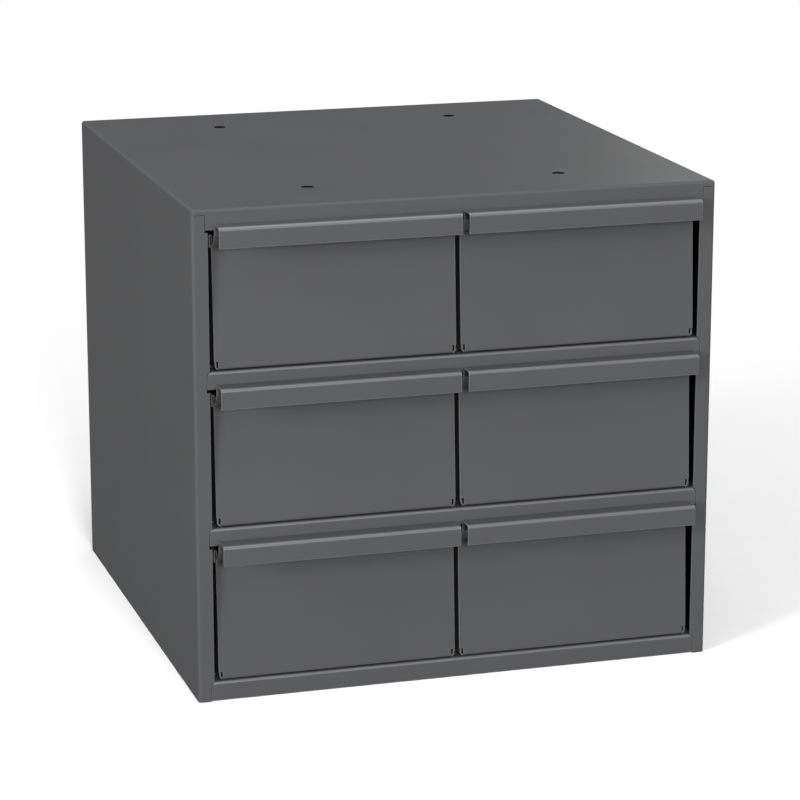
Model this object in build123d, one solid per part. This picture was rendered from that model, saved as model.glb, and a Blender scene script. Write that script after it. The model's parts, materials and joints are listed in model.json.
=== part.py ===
from build123d import *
import os

# A small six-drawer parts cabinet of folded sheet steel: a wrapped casing, three shelves, and
# two columns of drawers, each drawer with a handle lip folded in one piece with its front.
# Millimetres. +X right, +Y to the back, +Z up. The origin is on the ground, at the middle of
# the box that holds the closed cabinet, handles included.

# ---- casing ----
CASING_WIDTH = 298.45
CASING_DEPTH = 295.3
CASING_HEIGHT = 276.2
CASING_GAUGE = 0.9
CASING_BEND = 0.8  # inside radius of every fold in the casing's sheets
STILE_WIDTH = 8.8
TOP_RAIL_HEIGHT = 11.4
RAIL_HEIGHT = 10.2
BASE_RAIL_HEIGHT = 11.3
RAIL_RETURN = 7.0  # lip under each shelf's rail, folded back into the casing
RAIL_OVERLAP = 1.4  # how far each rail end reaches into its notch in the stile
RAIL_CORNER = 2.0  # height of the slanted upper corner of a rail end
NOTCH_DROP = 1.4  # height of the notch that stays open below the rail's end
SEAM = 0.3
CORNER_SEAM_DROP = 3.1  # from the top down to the seam over each stile
SHELF_FLANGE = 10.0
BACK_FLANGE = 10.0
ROW_NAMES = ("bottom", "middle", "top")
SHELF_NAMES = ("base_shelf", "lower_shelf", "upper_shelf")
COLUMN_NAMES = ("left", "right")

# ---- bolt holes in the top ----
HOLE_SPACING_X = 146.05
HOLE_SPACING_Y = 203.2
HOLE_DIAMETER = 7.14

# ---- drawer guides and stops, spot-welded to the shelves ----
GUIDE_GAUGE = 0.7
GUIDE_BEND = 0.6
GUIDE_FOOT = 9.0
GUIDE_HEIGHT = 14.0
GUIDE_SHEETS = 2  # the guide between two columns is folded double
GUIDE_SETBACK = 12.0  # from the front plane to the guides, and from the back panel
SIDE_PLAY = 0.6  # between a guide and a drawer's wall
RUN_CLEARANCE = 0.3  # between a guide's foot and a drawer's floor
STOP_SETBACK = 45.0  # from the front plane to the stop angle
STOP_FOOT = 9.0
STOP_CLEARANCE = 1.0  # from the top of the opening up to the stop's edge
STOP_SIDE_GAP = 10.0

# ---- drawers ----
DRAWER_GAUGE = 0.76
DRAWER_BEND = 1.4  # inside radius along the tray's two long bottom edges
TIGHT_BEND = 0.5  # inside radius of the drawer's small folds
FRONT_GAP = 2.7  # between fronts, and from a front to its stile
FRONT_SET = 0.4  # the front's foot lies this far behind the front plane
FRONT_LEAN = 4.2  # its head lies this far behind the front plane
WALL_INSET = 0.35  # from the front's side edge in to the tray's wall
WALL_DROP = 3.6  # from the top of the opening down to the wall's hem
HEM_HEIGHT = 6.7
HEM_OPEN = 0.55
SHARP = 0.0  # inside radius of a fold pressed flat
TAIL_GAP = 8.6  # from the closed drawer's tail to the back panel
FLANGE = 8.0  # width of the tabs and flanges that hold the drawer together
NOTCH_WIDTH = 2.3  # relief at the front's lower corners, round the tray's bend
NOTCH_HEIGHT = 4.5  # from the tray's underside up
STEP_GAP = 0.3

# ---- handle, the folded head of the drawer's front ----
HANDLE_INSET = 0.65  # its ends stop short of the front's side edges
HANDLE_REACH = 12.0  # from the front plane to the lip's face
LIP_DROP = 8.1  # from the top of the opening down to the lip's edge
LEDGE_RISE = 3.4  # the ledge's top, over the top of the opening
LIP_BEND = 1.5  # inside radius between the ledge and the lip
NECK_GAP = 0.5  # between the handle's neck and the rail behind it
JOG_BOTTOM = 8.6  # where the front turns forward, below the top of the opening
JOG_TOP = 2.2

# ---- stop tab on the drawer's back ----
TAB_WIDTH = 40.0
TAB_HOOK = 2.8  # height of the tab that the stop catches
TAB_CORNER = 3.0
STOP_PLAY = 0.5

# ---- derived ----
row_count = len(ROW_NAMES)
column_count = len(COLUMN_NAMES)
front_y = (HANDLE_REACH - CASING_DEPTH) / 2
rear_y = front_y + CASING_DEPTH
middle_y = (front_y + rear_y) / 2
inner_half = CASING_WIDTH / 2 - CASING_GAUGE
opening_half = CASING_WIDTH / 2 - STILE_WIDTH
rail_half = opening_half + RAIL_OVERLAP
all_rails = BASE_RAIL_HEIGHT + TOP_RAIL_HEIGHT + RAIL_HEIGHT * (row_count - 1)
opening_height = (CASING_HEIGHT - all_rails) / row_count
row_pitch = opening_height + RAIL_HEIGHT
front_width = (2 * opening_half - FRONT_GAP * (column_count + 1)) / column_count
column_pitch = front_width + FRONT_GAP
wall_half = front_width / 2 - WALL_INSET
floor_lift = GUIDE_GAUGE + RUN_CLEARANCE
wall_height = opening_height - WALL_DROP - floor_lift
tail_y = rear_y - CASING_GAUGE - TAIL_GAP
lean_run = FRONT_LEAN - FRONT_SET
lean_rise = opening_height - JOG_BOTTOM - floor_lift - DRAWER_GAUGE
stop_y = front_y + STOP_SETBACK


def shelf_top(row):
    """Height of the floor of a row's opening."""
    return BASE_RAIL_HEIGHT + row * row_pitch


def opening_top(row):
    """Height of the upper edge of a row's opening."""
    return shelf_top(row) + opening_height


def column_x(column):
    """Middle of a column of drawers."""
    return (column - (column_count - 1) / 2) * column_pitch


def block(x_span, y_span, z_span):
    """A plain box between two X values, two Y values and two Z values."""
    spans = (x_span, y_span, z_span)
    sizes = [high - low for low, high in spans]
    centre = [(high + low) / 2 for low, high in spans]
    return Pos(*centre) * Box(*sizes)


def folded(points, gauge, bends, side):
    """Section of a sheet folded along points that mark one of its faces.

    The bends are inside radii, one for all folds or one for each.
    """
    corners = [Vector(*point) for point in points]
    if not isinstance(bends, list):
        bends = [bends] * (len(corners) - 2)
    radii = []
    for before, corner, after, bend in zip(corners, corners[1:], corners[2:], bends):
        turns_left = (corner - before).cross(after - corner).Z > 0
        sheet_inside = turns_left == (side == Side.LEFT)
        radii.append(bend + gauge if sheet_inside else bend)
    fold_line = FilletPolyline(*corners, radius=radii)
    return make_face(fold_line.wire().offset_2d(gauge, kind=Kind.ARC, side=side, closed=True))


def along_x(section, half_length):
    """A section drawn in (Y, Z), run the same way to both sides of X = 0."""
    return extrude(Plane.YZ * section, half_length, both=True)


def along_y(section, start, end):
    """A section drawn in (X, Z), run from one Y value to another."""
    return extrude(Plane.XZ.offset(-start) * section, start - end)


def along_z(section, start, end):
    """A section drawn in (X, Y), run from one height to another."""
    return extrude(Plane.XY.offset(start) * section, end - start)


# ---- casing pieces ----
def rounded_casing(half_width, y_span, z_span, radius):
    """A box with its front, upper and upright front edges rounded, as the wrap is folded."""
    body = block((-half_width, half_width), y_span, z_span)
    top_edges = body.edges().filter_by(Axis.Y).group_by(Axis.Z)[-1]
    front_edges = body.faces().sort_by(Axis.Y)[0].edges().sort_by(Axis.Z)[1:]
    return fillet(top_edges + front_edges, radius)


def rail_corner(row, side):
    """Wedge that slants the upper corner of a rail's end."""
    top = shelf_top(row)
    wedge = Polyline(
        (side * opening_half, top),
        (side * rail_half, top - RAIL_CORNER),
        (side * (rail_half + CASING_GAUGE), top - RAIL_CORNER),
        (side * (rail_half + CASING_GAUGE), top + CASING_GAUGE),
        (side * opening_half, top + CASING_GAUGE),
        close=True,
    )
    return along_y(make_face(wedge), front_y - CASING_GAUGE, front_y + CASING_GAUGE + CASING_BEND)


def stile_notches():
    """The steps in the stiles that take the ends of the rails."""
    cuts = []
    rail_heights = [BASE_RAIL_HEIGHT] + [RAIL_HEIGHT] * (row_count - 1)
    for row, rail_height in enumerate(rail_heights):
        span_z = (shelf_top(row) - rail_height - NOTCH_DROP, shelf_top(row) + SEAM)
        span_y = (front_y - CASING_GAUGE, front_y + CASING_GAUGE + CASING_BEND)
        notch = block((-rail_half - SEAM, rail_half + SEAM), span_y, span_z)
        cuts.append(notch - [Pos(side * SEAM, 0, SEAM) * rail_corner(row, side) for side in (-1, 1)])
    return cuts


def casing_wrap():
    """Top, sides, stiles and top rail, folded from one sheet."""
    outer = rounded_casing(
        CASING_WIDTH / 2, (front_y, rear_y), (0, CASING_HEIGHT), CASING_BEND + CASING_GAUGE
    )
    inner = rounded_casing(
        inner_half,
        (front_y + CASING_GAUGE, rear_y + CASING_GAUGE),
        (-CASING_GAUGE, CASING_HEIGHT - CASING_GAUGE),
        CASING_BEND,
    )
    front_span = (front_y - CASING_GAUGE, front_y + CASING_GAUGE + CASING_BEND)
    top_opening = opening_top(row_count - 1)
    seam_z = CASING_HEIGHT - CORNER_SEAM_DROP
    opening = block((-opening_half, opening_half), front_span, (-CASING_GAUGE, top_opening))
    seam_x = rail_half + SEAM
    fold_x = CASING_WIDTH / 2 - CASING_BEND - CASING_GAUGE
    seams = [block((-seam_x, seam_x), front_span, (top_opening - NOTCH_DROP, top_opening))]
    for side in (-1, 1):
        ends = sorted((side * rail_half, side * seam_x))
        seams.append(block(ends, front_span, (top_opening - NOTCH_DROP, seam_z)))
        over = sorted((side * rail_half, side * fold_x))
        seams.append(block(over, front_span, (seam_z - SEAM, seam_z)))
    wrap = outer - inner - opening - stile_notches() - seams
    holes = [
        Pos(place.position.X, place.position.Y + middle_y, CASING_HEIGHT)
        * Cylinder(HOLE_DIAMETER / 2, 4 * CASING_GAUGE)
        for place in GridLocations(HOLE_SPACING_X, HOLE_SPACING_Y, 2, 2)
    ]
    return wrap - holes


def back_panel():
    """Back sheet with a flange folded forward along both sides and the top."""
    height = CASING_HEIGHT - CASING_GAUGE
    flange_y = rear_y - BACK_FLANGE
    relief = CASING_GAUGE + CASING_BEND
    sides = [
        (-inner_half, flange_y),
        (-inner_half, rear_y),
        (inner_half, rear_y),
        (inner_half, flange_y),
    ]
    upright = folded(sides, CASING_GAUGE, CASING_BEND, Side.RIGHT)
    head = [(rear_y, 0), (rear_y, height), (flange_y, height)]
    over = folded(head, CASING_GAUGE, CASING_BEND, Side.LEFT)
    return along_z(upright, 0, height - relief) + along_x(over, inner_half - relief)


def shelf(row, rail_height, flange_height):
    """Shelf with its front rail, the rail's lip, and flanges at the sides and the back."""
    top = shelf_top(row)
    back_y = rear_y - CASING_GAUGE
    lengthwise = [
        (front_y + RAIL_RETURN, top - rail_height),
        (front_y, top - rail_height),
        (front_y, top),
        (back_y, top),
        (back_y, top - flange_height),
    ]
    crosswise = [
        (-inner_half, top - flange_height),
        (-inner_half, top),
        (inner_half, top),
        (inner_half, top - flange_height),
    ]
    relief = CASING_GAUGE + CASING_BEND + SEAM
    rail = along_x(folded(lengthwise, CASING_GAUGE, CASING_BEND, Side.RIGHT), rail_half)
    rail -= [rail_corner(row, side) for side in (-1, 1)]
    wings = along_y(
        folded(crosswise, CASING_GAUGE, CASING_BEND, Side.RIGHT),
        front_y + relief,
        rear_y - BACK_FLANGE - SEAM,
    )
    return rail + wings


def centre_guide(row, x):
    """Strip folded double and pressed flat, with a foot under each column's drawers."""
    base = shelf_top(row) + GUIDE_GAUGE
    crown = GUIDE_SHEETS * GUIDE_GAUGE / 2
    foot = crown + GUIDE_FOOT
    head = shelf_top(row) + GUIDE_HEIGHT
    left = [(x - foot, base), (x - crown, base), (x - crown, head)]
    side = folded(left, GUIDE_GAUGE, GUIDE_BEND, Side.RIGHT)
    section = side + mirror(side, about=Plane.YZ.offset(x))
    section = fillet(section.vertices().group_by(Axis.Y)[-1], GUIDE_BEND)
    return along_y(section, front_y + GUIDE_SETBACK, rear_y - GUIDE_SETBACK)


def side_guide(row, side):
    """Angle beside the outer wall of an outer drawer, with its foot under the drawer."""
    wall_x = column_x(column_count - 1) + wall_half + SIDE_PLAY
    base = shelf_top(row)
    section = [
        (wall_x - GUIDE_FOOT, base),
        (wall_x + GUIDE_GAUGE, base),
        (wall_x + GUIDE_GAUGE, base + GUIDE_HEIGHT),
    ]
    right = along_y(
        folded(section, GUIDE_GAUGE, GUIDE_BEND, Side.LEFT),
        front_y + GUIDE_SETBACK,
        rear_y - GUIDE_SETBACK,
    )
    return right if side > 0 else mirror(right, about=Plane.YZ)


def stop_angle(row):
    """Angle hung under the sheet above a row, which catches the drawers' stop tabs."""
    last = row == row_count - 1
    above = CASING_HEIGHT if last else shelf_top(row + 1)
    underside = above - CASING_GAUGE
    section = [
        (stop_y + STOP_FOOT, underside),
        (stop_y, underside),
        (stop_y, opening_top(row) + STOP_CLEARANCE),
    ]
    return along_x(
        folded(section, CASING_GAUGE, GUIDE_BEND, Side.LEFT), inner_half - STOP_SIDE_GAP
    )


# ---- drawer pieces, drawn round X = 0 and moved to their column ----
def front_line(row, height):
    """Y of the leaning front's rear face at a height."""
    foot = shelf_top(row) + floor_lift + DRAWER_GAUGE
    share = (height - foot) / lean_rise
    return front_y + FRONT_SET + DRAWER_GAUGE + lean_run * share


def drawer_front(row):
    """Leaning front and its handle in one sheet: neck, ledge and hanging lip."""
    top = opening_top(row)
    low = shelf_top(row) + floor_lift
    foot = low + DRAWER_GAUGE
    neck_y = front_y - NECK_GAP
    lip_y = front_y - HANDLE_REACH
    fold_points = [
        (front_line(row, foot) + FLANGE, foot),
        (front_line(row, foot), foot),
        (front_line(row, top - JOG_BOTTOM), top - JOG_BOTTOM),
        (neck_y, top - JOG_TOP),
        (neck_y, top + LEDGE_RISE),
        (lip_y, top + LEDGE_RISE),
        (lip_y, top - LIP_DROP),
    ]
    bends = [TIGHT_BEND] * (len(fold_points) - 3) + [LIP_BEND]
    sheet = along_x(folded(fold_points, DRAWER_GAUGE, bends, Side.LEFT), front_width / 2)
    cuts = []
    for side in (-1, 1):
        head_x = sorted((side * (front_width / 2 - HANDLE_INSET), side * front_width))
        head_y = (lip_y - FLANGE, front_y + FRONT_LEAN + FLANGE)
        cuts.append(block(head_x, head_y, (top - JOG_BOTTOM, top + 2 * LEDGE_RISE)))
        foot_x = sorted((side * (front_width / 2 - NOTCH_WIDTH), side * front_width))
        foot_y = (lip_y, front_y + FRONT_LEAN + 2 * FLANGE)
        cuts.append(block(foot_x, foot_y, (low - FLANGE, low + NOTCH_HEIGHT)))
    return sheet - cuts


def wall_tab(row, side):
    """Tab folded inward from a wall's front edge, which the front is welded to."""
    low = shelf_top(row) + floor_lift + NOTCH_HEIGHT
    high = opening_top(row) - WALL_DROP - HEM_OPEN - 2 * DRAWER_GAUGE
    centre = (side * (wall_half - FLANGE / 2), front_line(row, low) + DRAWER_GAUGE / 2, low)
    outline = Pos(*centre) * Rectangle(FLANGE, DRAWER_GAUGE)
    lean = Vector(0, lean_run, lean_rise)
    return extrude(outline, (high - low) * lean.length / lean.Z, dir=lean)


def drawer_tray(row):
    """Floor and two walls, with an open hem turned out along the top of each wall.

    The floor stops at the foot of the front, and only its bends run on past the foot's ends.
    """
    low = shelf_top(row) + floor_lift
    high = low + wall_height
    hem_half = wall_half + HEM_OPEN + DRAWER_GAUGE
    hem_bottom = high - HEM_HEIGHT
    inner = wall_half - DRAWER_GAUGE
    side = [
        (0, low + DRAWER_GAUGE),
        (inner, low + DRAWER_GAUGE),
        (inner, high),
        (hem_half, high),
        (hem_half, hem_bottom),
    ]
    half = folded(side, DRAWER_GAUGE, [DRAWER_BEND, SHARP, SHARP], Side.RIGHT)
    section = half + mirror(half, about=Plane.YZ)
    trough = along_y(section, front_y + FRONT_SET, tail_y)
    step = low + NOTCH_HEIGHT - STEP_GAP
    wedge = Polyline(
        (front_y - FLANGE, step),
        (front_line(row, step), step),
        (front_line(row, high + FLANGE), high + FLANGE),
        (front_y - FLANGE, high + FLANGE),
        close=True,
    )
    foot_half = front_width / 2 - NOTCH_WIDTH + STEP_GAP
    foot_end = front_line(row, low + DRAWER_GAUGE) + FLANGE
    foot_room = block((-foot_half, foot_half), (front_y, foot_end), (low - STEP_GAP, step))
    trough -= [along_x(make_face(wedge), front_width), foot_room]
    return trough + wall_tab(row, -1) + wall_tab(row, 1)


def drawer_back(row):
    """Back with flanges folded forward, and the tab that the stop angle catches."""
    low = shelf_top(row) + floor_lift + DRAWER_GAUGE
    high = low - DRAWER_GAUGE + wall_height
    half = wall_half - DRAWER_GAUGE
    flange_y = tail_y - FLANGE
    relief = DRAWER_GAUGE + DRAWER_BEND
    sides = [(-half, flange_y), (-half, tail_y), (half, tail_y), (half, flange_y)]
    upright = along_z(folded(sides, DRAWER_GAUGE, TIGHT_BEND, Side.RIGHT), low + relief, high)
    foot = folded([(flange_y, low), (tail_y, low), (tail_y, high)], DRAWER_GAUGE, TIGHT_BEND, Side.LEFT)
    tab_top = opening_top(row) + STOP_CLEARANCE + TAB_HOOK
    tab_height = tab_top - high + TAB_CORNER
    tab = Pos(0, tab_top - tab_height / 2) * Rectangle(TAB_WIDTH, tab_height)
    tab = chamfer(tab.vertices().group_by(Axis.Y)[-1], TAB_CORNER)
    return upright + along_x(foot, half - relief) + along_y(tab, tail_y - DRAWER_GAUGE, tail_y)


# ---- all nodes ----
def casing_nodes():
    """Every piece that stays still, by name."""
    nodes = {"casing_wrap": casing_wrap(), "back_panel": back_panel()}
    for row, (row_name, shelf_name) in enumerate(zip(ROW_NAMES, SHELF_NAMES)):
        rail_height = RAIL_HEIGHT if row else BASE_RAIL_HEIGHT
        flange_height = SHELF_FLANGE if row else BASE_RAIL_HEIGHT
        nodes[shelf_name] = shelf(row, rail_height, flange_height)
        nodes[f"stop_angle_{row_name}"] = stop_angle(row)
        nodes[f"side_guide_{row_name}_left"] = side_guide(row, -1)
        nodes[f"side_guide_{row_name}_right"] = side_guide(row, 1)
        nodes[f"centre_guide_{row_name}"] = centre_guide(row, 0)
    return nodes


def drawer_nodes():
    """The three pieces of each drawer, by name."""
    nodes = {}
    for row, row_name in enumerate(ROW_NAMES):
        pieces = {"tray": drawer_tray(row), "front": drawer_front(row), "back": drawer_back(row)}
        for column, column_name in enumerate(COLUMN_NAMES):
            for piece_name, solid in pieces.items():
                name = f"drawer_{row_name}_{column_name}_{piece_name}"
                nodes[name] = Pos(column_x(column), 0, 0) * solid
    return nodes


def main():
    os.makedirs("parts", exist_ok=True)
    for name, solid in {**casing_nodes(), **drawer_nodes()}.items():
        export_step(solid, f"parts/{name}.step")
    travel = tail_y - DRAWER_GAUGE - stop_y - CASING_GAUGE - STOP_PLAY
    print(f"front plane y {front_y:.3f}, rear y {rear_y:.3f}, drawer travel {travel:.3f}")


main()
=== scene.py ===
import json
import math
import bmesh
import bpy
from mathutils import Matrix, Vector

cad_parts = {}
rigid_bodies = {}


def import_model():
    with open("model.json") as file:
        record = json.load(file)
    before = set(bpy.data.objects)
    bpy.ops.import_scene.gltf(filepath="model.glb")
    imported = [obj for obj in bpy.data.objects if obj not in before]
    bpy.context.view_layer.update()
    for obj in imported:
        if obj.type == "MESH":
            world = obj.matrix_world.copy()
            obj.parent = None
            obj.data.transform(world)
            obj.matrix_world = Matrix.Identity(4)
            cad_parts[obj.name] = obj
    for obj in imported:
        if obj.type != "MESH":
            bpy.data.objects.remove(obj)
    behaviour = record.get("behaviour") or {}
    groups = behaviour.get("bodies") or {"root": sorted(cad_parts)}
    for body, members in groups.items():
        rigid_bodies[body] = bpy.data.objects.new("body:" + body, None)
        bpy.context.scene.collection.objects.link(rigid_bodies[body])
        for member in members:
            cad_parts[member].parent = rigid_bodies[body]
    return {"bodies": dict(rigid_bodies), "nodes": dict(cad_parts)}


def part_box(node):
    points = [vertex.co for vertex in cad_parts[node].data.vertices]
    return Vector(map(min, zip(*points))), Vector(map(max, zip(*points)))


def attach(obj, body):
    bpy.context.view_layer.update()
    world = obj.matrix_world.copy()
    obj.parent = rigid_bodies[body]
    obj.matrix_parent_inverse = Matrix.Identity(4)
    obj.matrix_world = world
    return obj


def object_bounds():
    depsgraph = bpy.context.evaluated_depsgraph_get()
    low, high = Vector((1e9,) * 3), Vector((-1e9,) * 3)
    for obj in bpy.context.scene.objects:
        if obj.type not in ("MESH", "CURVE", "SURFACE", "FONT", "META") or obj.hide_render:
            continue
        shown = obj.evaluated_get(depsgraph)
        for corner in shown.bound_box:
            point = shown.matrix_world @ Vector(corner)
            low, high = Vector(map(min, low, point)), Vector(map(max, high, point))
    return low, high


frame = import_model()
nodes = frame["nodes"]
cad_low, cad_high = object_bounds()

# ---- camera ----
# The photograph was taken from the left of the front and a little above, from far off with a
# long lens. The lens and the place are those of a camera fitted to the casing's corners.
camera_place = Vector((-0.5177, -1.7414, 0.6002))
camera_yaw = math.radians(16.83)
camera_pitch = math.radians(14.63)
camera_roll = math.radians(0.02)
camera_data = bpy.data.cameras.new("photo_camera")
camera_data.sensor_width = 36.0
camera_data.lens = 141.9
camera_data.clip_end = 60.0
camera = bpy.data.objects.new("photo_camera", camera_data)
bpy.context.scene.collection.objects.link(camera)
heading = Matrix.Rotation(-camera_yaw, 4, "Z")
tilt = Matrix.Rotation(math.pi / 2 - camera_pitch, 4, "X")
roll = Matrix.Rotation(camera_roll, 4, "Z")
camera.matrix_world = Matrix.Translation(camera_place) @ (heading @ tilt) @ roll
bpy.context.scene.camera = camera
bpy.context.scene.view_settings.view_transform = "Standard"


# ---- floor, sky and lamps ----
# The cabinet stands on a plain white sheet in a white room. Soft lamps stand in front of it, to
# its left, over it, and to the right behind it. Its left side gets less light than its front.
class Value:
    """One output of a node, which takes part in sums and products."""

    def __init__(self, graph, socket):
        self.graph = graph
        self.socket = socket

    def maths(self, operation, other=0.0):
        return self.graph.maths(operation, self, other)

    def __add__(self, other):
        return self.maths("ADD", other)

    def __radd__(self, other):
        return self.maths("ADD", other)

    def __sub__(self, other):
        return self.maths("SUBTRACT", other)

    def __rsub__(self, other):
        return self.graph.maths("SUBTRACT", other, self)

    def __mul__(self, other):
        return self.maths("MULTIPLY", other)

    def __rmul__(self, other):
        return self.maths("MULTIPLY", other)


class Graph:
    """A tree of nodes, empty at first."""

    def __init__(self, tree):
        self.tree = tree
        self.tree.nodes.clear()

    def add(self, kind, settings=None, sockets=None, out=0):
        """Adds a node, sets it, then gives its sockets values or links."""
        node = self.tree.nodes.new(kind)
        for key, setting in (settings or {}).items():
            setattr(node, key, setting)
        for key, value in (sockets or {}).items():
            if isinstance(value, Value):
                self.tree.links.new(value.socket, node.inputs[key])
            else:
                node.inputs[key].default_value = value
        if out is None or not node.outputs:
            return node
        return Value(self, node.outputs[out])

    def maths(self, operation, first, second):
        return self.add("ShaderNodeMath", {"operation": operation}, {0: first, 1: second})

    def outputs(self, kind):
        """A node's outputs by their names."""
        node = self.add(kind, out=None)
        return {output.name: Value(self, output) for output in node.outputs}

    def parts(self, vector):
        """The X, Y and Z of a vector."""
        node = self.add("ShaderNodeSeparateXYZ", {}, {0: vector}, out=None)
        return [Value(self, output) for output in node.outputs]

    def seen(self):
        """1 for what is seen straight, mirrored or through glass, and 0 for light given on."""
        ray = self.outputs("ShaderNodeLightPath")
        mirrored = ray["Is Camera Ray"].maths("MAXIMUM", ray["Is Glossy Ray"])
        return mirrored.maths("MAXIMUM", ray["Is Transmission Ray"])


class Finish(Graph):
    """A material and the nodes that make it."""

    def __init__(self, name):
        self.material = bpy.data.materials.new(name)
        self.material.use_nodes = True
        super().__init__(self.material.node_tree)

    def blend(self, share, first, second):
        """Mixes two colours."""
        sockets = {0: share, 6: first, 7: second}
        return self.add("ShaderNodeMix", {"data_type": "RGBA"}, sockets, out=2)

    def place(self):
        """The object's own coordinates."""
        return self.add("ShaderNodeTexCoord", out=3)

    def stretched(self, stretch):
        """The object's own coordinates, drawn out along an axis."""
        return self.add("ShaderNodeMapping", {}, {"Vector": self.place(), "Scale": stretch})

    def cloud(self, scale, detail=2.0, where=None):
        """Soft random patches between 0 and 1."""
        sockets = {"Vector": where or self.place(), "Scale": scale, "Detail": detail}
        return self.add("ShaderNodeTexNoise", {}, sockets)

    def step(self, value, low, high):
        """0 below low, 1 above high, and smooth between them."""
        sockets = {"Value": value, "From Min": low, "From Max": high}
        return self.add("ShaderNodeMapRange", {"interpolation_type": "SMOOTHSTEP"}, sockets)

    def surface(self, shader):
        self.add("ShaderNodeOutputMaterial", {}, {"Surface": shader})
        return self.material


def grey(level):
    return (level, level, level, 1.0)


floor_radius = 9.0
floor_sides = 96
grain_scale = 40.0
paper_low = grey(0.94)
paper_high = grey(0.97)
paper_for_light = grey(0.2)  # what it gives on, held low so that the lamps model the cabinet
shade_reach = (0.25, 0.9)  # from the cabinet's middle out, where its shade fades into white
floor_finish = Finish("floor_paper")
grain = floor_finish.cloud(grain_scale)
seen = floor_finish.seen()
fresh_paper = floor_finish.blend(grain, paper_low, paper_high)
paper = floor_finish.blend(seen, paper_for_light, fresh_paper)
lit_paper = floor_finish.add("ShaderNodeBsdfDiffuse", {}, {"Color": paper, "Roughness": 1.0})
glow = floor_finish.add("ShaderNodeEmission", {}, {"Color": grey(1.0), "Strength": 1.0})
reach = floor_finish.add(
    "ShaderNodeVectorMath", {"operation": "LENGTH"}, {0: floor_finish.place()}, out=1
)
bright = seen * floor_finish.step(reach, *shade_reach)
floor_shader = floor_finish.add("ShaderNodeMixShader", {}, {0: bright, 1: lit_paper, 2: glow})
floor_mesh = bpy.data.meshes.new("floor")
floor_form = bmesh.new()
bmesh.ops.create_circle(floor_form, cap_ends=True, segments=floor_sides, radius=floor_radius)
floor_form.to_mesh(floor_mesh)
floor_form.free()
floor_mesh.materials.append(floor_finish.surface(floor_shader))
floor = bpy.data.objects.new("floor", floor_mesh)
bpy.context.scene.collection.objects.link(floor)

sky_strength = 0.36
sky = bpy.data.worlds.new("studio_sky")
bpy.context.scene.world = sky
sky.use_nodes = True
sky_graph = Graph(sky.node_tree)
light_sockets = {"Color": grey(1.0), "Strength": sky_strength}
sky_light = sky_graph.add("ShaderNodeBackground", {}, light_sockets)
sky_glow = sky_graph.add("ShaderNodeBackground", {}, {"Color": grey(1.0), "Strength": 1.0})
sky_sockets = {0: sky_graph.seen(), 1: sky_light, 2: sky_glow}
sky_mix = sky_graph.add("ShaderNodeMixShader", {}, sky_sockets)
sky_graph.add("ShaderNodeOutputWorld", {}, {"Surface": sky_mix})

lamps = {
    "front_lamp": {"place": (-0.3, -3.4, 0.95), "size": 0.8, "watts": 57.0},
    "left_lamp": {"place": (-3.1, -1.7, 1.05), "size": 1.2, "watts": 75.0},
    "top_lamp": {"place": (0.2, -0.5, 2.9), "size": 1.6, "watts": 24.0},
    "back_lamp": {"place": (1.9, 2.9, 1.0), "size": 1.2, "watts": 80.0},
}
lamp_target = Vector((0.0, 0.0, cad_high.z / 2))
for lamp_name, lamp in lamps.items():
    lamp_data = bpy.data.lights.new(lamp_name, "AREA")
    lamp_data.shape = "SQUARE"
    lamp_data.size = lamp["size"]
    lamp_data.energy = lamp["watts"]
    lamp_object = bpy.data.objects.new(lamp_name, lamp_data)
    bpy.context.scene.collection.objects.link(lamp_object)
    lamp_object.location = lamp["place"]
    aim = lamp_target - Vector(lamp["place"])
    lamp_object.rotation_euler = aim.to_track_quat("-Z", "Y").to_euler()


# ---- casing ----
# Top, sides, stiles and top rail are one folded steel sheet, and the three shelves with their
# rails are folded sheets welded in. After welding, all is sprayed with a satin dark grey enamel.
enamel_grey = (0.108, 0.109, 0.112, 1.0)
enamel_pale = (0.17, 0.171, 0.174, 1.0)
enamel_deep = (0.094, 0.095, 0.098, 1.0)
# paler edge tone: partly a thin worn film, partly a painted highlight along edges and creases
thin_film_and_highlight = (0.3, 0.302, 0.306, 1.0)
bare_steel = (0.36, 0.355, 0.35, 1.0)
# painted shade: near black laid into the bolt-hole bores, which stand in shade
bore_painted_shade = (0.006, 0.006, 0.006, 1.0)

bevel_samples = 6
sheet_edge = 0.0003  # radius of a cut edge under its paint
edge_reach = 0.0011  # how far from an edge the paler tone reaches, partly a thinner worn film and partly a painted highlight
edge_turn = (0.02, 0.25)  # turn of the sheet within that reach, from no paleness to full paleness
edge_patches = {"scale": 220.0, "detail": 4.0, "least": 0.55, "spread": 0.9}
fold_turn = (0.006, 0.05)  # how far a face on a fold leans from the three main directions

clouds_scale = 14.0
clouds_detail = 3.0
clouds_range = (0.2, 0.8)
clouds_calm = 0.5  # least share of the plain grey that is laid over the clouds
specks_scale = 2600.0
specks_range = (0.55, 0.75)
specks_share = 0.12
peel_scale = 1100.0
swell_scale = 260.0
swell_share = 0.35
peel_strength = 0.35
peel_depth = 0.00004
haze_scale = 60.0
haze_detail = 3.0
haze_share = 0.08
edge_polish = 0.06

flat_coat = 0.03  # share of clear gloss on flat sheet; folds have all of it
coat_index = 1.7
coat_roughness = 0.36
metal_share = 0.85
metal_polish = 0.12
dent_depth = 0.0006


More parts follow.
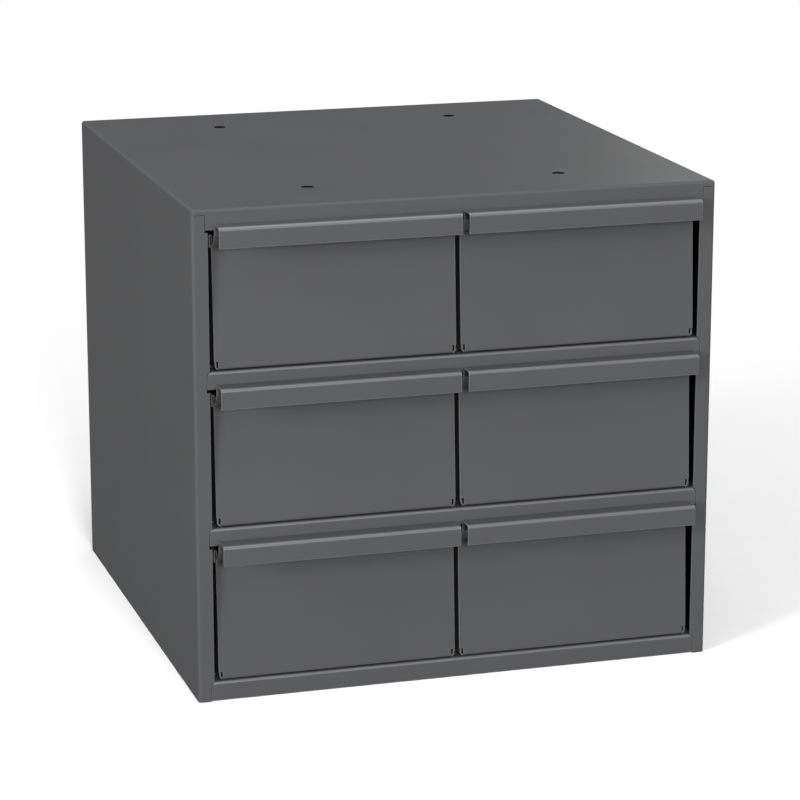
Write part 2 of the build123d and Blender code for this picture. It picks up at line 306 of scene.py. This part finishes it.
def enamel(name, gloss=0.5, edge_wear_and_highlight=0.35, fold_gloss=1.0, rub=None, dents=None, bore_shade=None):
    """Sprayed enamel: faint clouds, a fine orange peel, and paler edges, partly a worn film and
    partly a painted highlight.

    The film is drawn tight over folds and shines there. rub, dents and the bores' painted shade
    are made by functions of the finish: where metal shows, where the sheet isn't pressed in, and
    where a hole's bore is painted near black as painted shade.
    """
    finish = Finish(name)
    bevel = {"samples": bevel_samples}
    rounded = finish.add("ShaderNodeBevel", bevel, {"Radius": sheet_edge})
    facing = finish.add("ShaderNodeNewGeometry", out=1)
    turned = finish.add("ShaderNodeVectorMath", {"operation": "ABSOLUTE"}, {0: facing})
    flat_x, flat_y, flat_z = finish.parts(turned)
    flatness = flat_x.maths("MAXIMUM", flat_y).maths("MAXIMUM", flat_z)
    polish = fold_gloss * finish.step(1.0 - flatness, *fold_turn)

    broad = finish.add("ShaderNodeBevel", bevel, {"Radius": edge_reach})
    alike = {"operation": "DOT_PRODUCT"}
    turning = 1.0 - finish.add("ShaderNodeVectorMath", alike, {0: broad, 1: facing}, out=1)
    patches = finish.cloud(edge_patches["scale"], edge_patches["detail"])
    patches = edge_patches["least"] + edge_patches["spread"] * patches
    edge = finish.step(turning * patches, *edge_turn)

    clouds = finish.cloud(clouds_scale, clouds_detail)
    specks = finish.step(finish.cloud(specks_scale, 1.0), *specks_range)
    tone = finish.blend(clouds, enamel_deep, enamel_grey)
    calm = clouds_calm + (1.0 - clouds_calm) * finish.step(clouds, *clouds_range)
    tone = finish.blend(calm, tone, enamel_grey)
    tone = finish.blend(specks_share * specks, tone, enamel_pale)
    # edges and creases are painted paler: partly wear, partly a painted highlight
    tone = finish.blend(edge_wear_and_highlight * edge, tone, thin_film_and_highlight)
    rough = gloss + haze_share * finish.cloud(haze_scale, haze_detail) - edge_polish * edge
    sockets = {"Coat Weight": flat_coat + (1.0 - flat_coat) * polish}
    if rub:
        worn = rub(finish)
        tone = finish.blend(worn, tone, bare_steel)
        rough = rough - metal_polish * worn
        sockets["Metallic"] = metal_share * worn
        sockets["Coat Weight"] = sockets["Coat Weight"] * (1.0 - worn)
    if bore_shade:
        # painted shade: the bores of the holes are painted near black
        tone = finish.blend(bore_shade(finish), tone, bore_painted_shade)

    peel = finish.cloud(peel_scale, 2.0) + swell_share * finish.cloud(swell_scale, 1.0)
    bump = {"Strength": peel_strength, "Distance": peel_depth, "Height": peel, "Normal": rounded}
    normal = finish.add("ShaderNodeBump", {}, bump)
    if dents:
        whole = dents(finish)
        bump = {"Strength": 1.0, "Distance": dent_depth, "Height": whole, "Normal": normal}
        normal = finish.add("ShaderNodeBump", {}, bump)
    sockets.update({"Base Color": tone, "Roughness": rough, "Normal": normal})
    sockets["Specular IOR Level"] = 0.0
    sockets["Coat IOR"] = coat_index
    sockets["Coat Roughness"] = coat_roughness
    return finish.surface(finish.add("ShaderNodeBsdfPrincipled", {}, sockets))


def coat(node_names, material):
    """Gives CAD nodes their finish."""
    for node_name in node_names:
        if not nodes[node_name].material_slots:
            nodes[node_name].data.materials.append(material)
        for slot in nodes[node_name].material_slots:
            slot.material = material


hole_spacing_x = 0.14605
hole_spacing_y = 0.2032
hole_radius = 0.00357
bore_film = 0.0002
bore_depth = (0.002, 0.0015)


def bolt_hole_shade(finish):
    """Where the bores of the four punched holes in the top are painted as shade, 1 inside and 0
    on the sheet.
    """
    across, depth, height = finish.parts(finish.place())
    wrap_low, wrap_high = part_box("casing_wrap")
    off_middle = depth - (wrap_low.y + wrap_high.y) / 2
    off_x = across.maths("ABSOLUTE") - hole_spacing_x / 2
    off_y = off_middle.maths("ABSOLUTE") - hole_spacing_y / 2
    distance = (off_x * off_x + off_y * off_y).maths("POWER", 0.5)
    upper = finish.step(height, *[wrap_high.z - drop for drop in bore_depth])
    return upper * (1.0 - finish.step(distance, hole_radius, hole_radius + bore_film))


shelves = ["base_shelf", "lower_shelf", "upper_shelf"]
coat(["casing_wrap"], enamel("casing_enamel", fold_gloss=0.04, bore_shade=bolt_hole_shade))
coat(shelves, enamel("shelf_enamel", gloss=0.46))

# ---- back panel ----
# One sheet with three folded edges, let in flush with the casing's rear. The welding tongs left a
# row of round dents where each shelf's rear flange is welded to it, painted over like the rest.
dent_pitch = 0.042
dent_radius = 0.003
dent_floor = 0.7  # share of the radius that is pressed flat
dent_drop = 0.0055  # from a shelf's top down to the row of welds in its flange


def back_dents(finish):
    """How far the sheet stands back from its dents, 1 where it is whole."""
    along, depth, height = finish.parts(finish.place())
    turns = along * (1.0 / dent_pitch)
    off_centre = (turns - turns.maths("ROUND")) * dent_pitch
    levels = []
    for shelf_name in shelves:
        rise = height - (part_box(shelf_name)[1].z - dent_drop)
        distance = (off_centre * off_centre + rise * rise).maths("POWER", 0.5)
        levels.append(finish.step(distance, dent_floor * dent_radius, dent_radius))
    return levels[0].maths("MINIMUM", levels[1]).maths("MINIMUM", levels[2])


coat(["back_panel"], enamel("back_enamel", gloss=0.52, dents=back_dents))

# ---- drawers ----
# Each drawer is a folded tray with a leaning front, whose head is folded into the handle, and a
# back with a stop tab. They are sprayed with the same enamel. Parts have scuffed the trays.
drawer_enamel = enamel("drawer_enamel", gloss=0.48, edge_wear_and_highlight=0.45)

raked = {"stretch": (1500.0, 26.0, 1500.0), "range": (0.66, 0.74)}
crossing = {"stretch": (34.0, 1700.0, 1700.0), "range": (0.69, 0.76), "share": 0.6}
scuff_patches = {"scale": 28.0, "range": (0.42, 0.7)}
scuff_share = 0.45


def scratches(finish):
    """Fine scuffs from parts thrown in and raked out, most of them from front to back."""
    long_way = finish.cloud(1.0, 2.0, finish.stretched(raked["stretch"]))
    cross_way = finish.cloud(1.0, 2.0, finish.stretched(crossing["stretch"]))
    patches = finish.step(finish.cloud(scuff_patches["scale"]), *scuff_patches["range"])
    lines = finish.step(long_way, *raked["range"])
    lines = lines + crossing["share"] * finish.step(cross_way, *crossing["range"])
    return scuff_share * (lines * patches)


tray_enamel = enamel("tray_enamel", gloss=0.46, edge_wear_and_highlight=0.5, rub=scratches)
drawer_names = [name for name in nodes if name.startswith("drawer")]
coat([name for name in drawer_names if name.endswith("tray")], tray_enamel)
coat([name for name in drawer_names if not name.endswith("tray")], drawer_enamel)

# ---- guides and stops ----
# Angles of thin sheet keep the drawers apart and stop them. The guides are spot-welded to the
# shelves, and a stop hangs under the sheet over each row. Where the drawers slide, their film is
# rubbed through.
streak = {"stretch": (900.0, 9.0, 900.0), "detail": 3.0, "range": (0.52, 0.68)}
streak_patches = {"scale": 16.0, "range": (0.36, 0.62)}
streak_share = 0.7


def slide_marks(finish):
    """Bare streaks along the slide."""
    streaks = finish.cloud(1.0, streak["detail"], finish.stretched(streak["stretch"]))
    patches = finish.step(finish.cloud(streak_patches["scale"]), *streak_patches["range"])
    return streak_share * (finish.step(streaks, *streak["range"]) * patches)


guide_enamel = enamel("guide_enamel", gloss=0.45, edge_wear_and_highlight=0.6, rub=slide_marks)
coat([name for name in nodes if "guide" in name or "stop" in name], guide_enamel)

# ---- spot welds ----
# Every joint between two sheets is held by spot welds. Inside, each left a small round mark with
# a raised rim and a dented middle, under the paint. All marks have one form, uneven in size.
weld_radius = 0.0021
weld_rise = 0.00022
weld_unevenness = 0.12
weld_middle = 0.25  # height of the dented middle, as a share of the full rise
weld_segments = 14
weld_rings = 8
weld_sockets = {
    "Places": "NodeSocketGeometry",
    "Radius": "NodeSocketFloat",
    "Rise": "NodeSocketFloat",
    "Unevenness": "NodeSocketFloat",
    "Seed": "NodeSocketInt",
    "Film": "NodeSocketMaterial",
}
weld_tree = bpy.data.node_groups.new("weld_marks", "GeometryNodeTree")
weld_ids = {}
for socket_name, kind in weld_sockets.items():
    socket = weld_tree.interface.new_socket(socket_name, in_out="INPUT", socket_type=kind)
    weld_ids[socket_name] = socket.identifier
weld_tree.interface.new_socket("Marks", in_out="OUTPUT", socket_type="NodeSocketGeometry")
weld = Graph(weld_tree)
given = weld.outputs("NodeGroupInput")
ball_sockets = {"Segments": weld_segments, "Rings": weld_rings, "Radius": 1.0}
ball = weld.add("GeometryNodeMeshUVSphere", {}, ball_sockets)
spot_x, spot_y, spot_z = weld.parts(weld.add("GeometryNodeInputPosition"))
rim = weld_middle + (1.0 - weld_middle) * (spot_x * spot_x + spot_y * spot_y)
shape = weld.add("ShaderNodeCombineXYZ", {}, {"X": spot_x, "Y": spot_y, "Z": spot_z * rim})
mark = weld.add("GeometryNodeSetPosition", {}, {"Geometry": ball, "Position": shape})
direction = weld.add(
    "GeometryNodeInputNamedAttribute", {"data_type": "FLOAT_VECTOR"}, {"Name": "facing"}
)
turned = weld.add("FunctionNodeAlignRotationToVector", {"axis": "Z"}, {"Vector": direction})
uneven = given["Unevenness"]
share_sockets = {2: 1.0 - uneven, 3: 1.0 + uneven, "Seed": given["Seed"]}
share = weld.add("FunctionNodeRandomValue", {"data_type": "FLOAT"}, share_sockets, out=1)
width = given["Radius"] * share
rise = given["Rise"] * share
stretch = weld.add("ShaderNodeCombineXYZ", {}, {"X": width, "Y": width, "Z": rise})
marks = weld.add(
    "GeometryNodeInstanceOnPoints",
    {},
    {"Points": given["Places"], "Instance": mark, "Rotation": turned, "Scale": stretch},
)
marks = weld.add("GeometryNodeRealizeInstances", {}, {"Geometry": marks})
marks = weld.add("GeometryNodeSetShadeSmooth", {}, {"Geometry": marks})
marks = weld.add("GeometryNodeSetMaterial", {}, {"Geometry": marks, "Material": given["Film"]})
weld.add("NodeGroupOutput", {}, {"Marks": marks})


def weld_marks(name, places, film, rise, seed):
    """One mesh with a mark at every place, which is a point and the way that it faces."""
    points = bpy.data.meshes.new(name)
    points.from_pydata([point for point, facing in places], [], [])
    facings = points.attributes.new("facing", "FLOAT_VECTOR", "POINT")
    for item, (point, facing) in zip(facings.data, places):
        item.vector = facing
    draft = bpy.data.objects.new(name + "_draft", points)
    bpy.context.scene.collection.objects.link(draft)
    modifier = draft.modifiers.new("marks", "NODES")
    modifier.node_group = weld_tree
    values = {"Radius": weld_radius, "Rise": rise, "Seed": seed, "Film": film}
    values["Unevenness"] = weld_unevenness
    for socket_name, value in values.items():
        modifier[weld_ids[socket_name]] = value
    shown = draft.evaluated_get(bpy.context.evaluated_depsgraph_get())
    piece = bpy.data.objects.new(name, bpy.data.meshes.new_from_object(shown))
    piece.data.name = name
    bpy.data.objects.remove(draft)
    bpy.context.scene.collection.objects.link(piece)
    return piece


def spread(start, end, count):
    """Evenly spaced places from start to end."""
    return [start + (end - start) * step / (count - 1) for step in range(count)]


# In a drawer: the tabs behind the front, and the back's two flanges and its foot.
sheet = 0.00076
hem_reach = 0.00131  # from a wall's outer face out to its hem
flange_middle = 0.004
end_margin = 0.014
front_set = 0.0004
front_lean = 0.0038
lean_height = 0.06734
welds_high = 3
welds_across = 3
front_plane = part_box("casing_wrap")[0].y


def drawer_welds(drawer):
    """Places of the marks inside one drawer."""
    tray_low, tray_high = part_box(drawer + "_tray")
    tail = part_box(drawer + "_back")[1].y
    middle = (tray_low.x + tray_high.x) / 2
    wall_half = (tray_high.x - tray_low.x) / 2 - hem_reach
    floor_top = tray_low.z + sheet
    heights = spread(floor_top + end_margin, tray_high.z - end_margin, welds_high)
    places = []
    for side in (-1, 1):
        for height in heights:
            lean = front_lean * (height - floor_top) / lean_height
            tab_y = front_plane + front_set + 2 * sheet + lean
            tab_x = middle + side * (wall_half - flange_middle)
            places.append(((tab_x, tab_y, height), (0.0, 1.0, -front_lean / lean_height)))
            flange_x = middle + side * (wall_half - 2 * sheet)
            places.append(((flange_x, tail - flange_middle, height), (-side, 0.0, 0.0)))
    foot_half = wall_half - 2 * end_margin
    for offset in spread(-foot_half, foot_half, welds_across):
        place = (middle + offset, tail - flange_middle, floor_top + sheet)
        places.append((place, (0.0, 0.0, 1.0)))
    return places


drawer_bodies = sorted(name for name in frame["bodies"] if name.startswith("drawer"))
for number, body in enumerate(drawer_bodies):
    piece = weld_marks(f"{body}_welds", drawer_welds(body), drawer_enamel, weld_rise, number)
    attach(piece, body)

# In the casing: the feet of the guides and of the stop angles.
guide_sheet = 0.0007
casing_sheet = 0.0009
foot_middle = 0.0042
foot_rise = 0.00012
stop_foot_share = 0.6  # where the welds lie across a stop angle's foot, from its front
welds_per_guide = 6
welds_per_stop = 7


def guide_welds(name):
    """Places of the marks on a guide's feet: a centre guide has two, a side guide one."""
    low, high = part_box(name)
    feet = []
    if not name.endswith("left"):
        feet.append(low.x + foot_middle)
    if not name.endswith("right"):
        feet.append(high.x - foot_middle)
    rows = spread(low.y + end_margin, high.y - end_margin, welds_per_guide)
    top = low.z + guide_sheet
    return [((foot_x, foot_y, top), (0.0, 0.0, 1.0)) for foot_x in feet for foot_y in rows]


def stop_welds(name):
    """Places of the marks under a stop angle's foot."""
    low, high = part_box(name)
    foot_y = low.y + stop_foot_share * (high.y - low.y)
    under = high.z - casing_sheet
    row = spread(low.x + end_margin, high.x - end_margin, welds_per_stop)
    return [((foot_x, foot_y, under), (0.0, 0.0, -1.0)) for foot_x in row]


places = []
for name in nodes:
    if "guide" in name:
        places += guide_welds(name)
    elif "stop" in name:
        places += stop_welds(name)
piece = weld_marks("casing_welds", places, guide_enamel, foot_rise, len(drawer_bodies))
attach(piece, "casing")
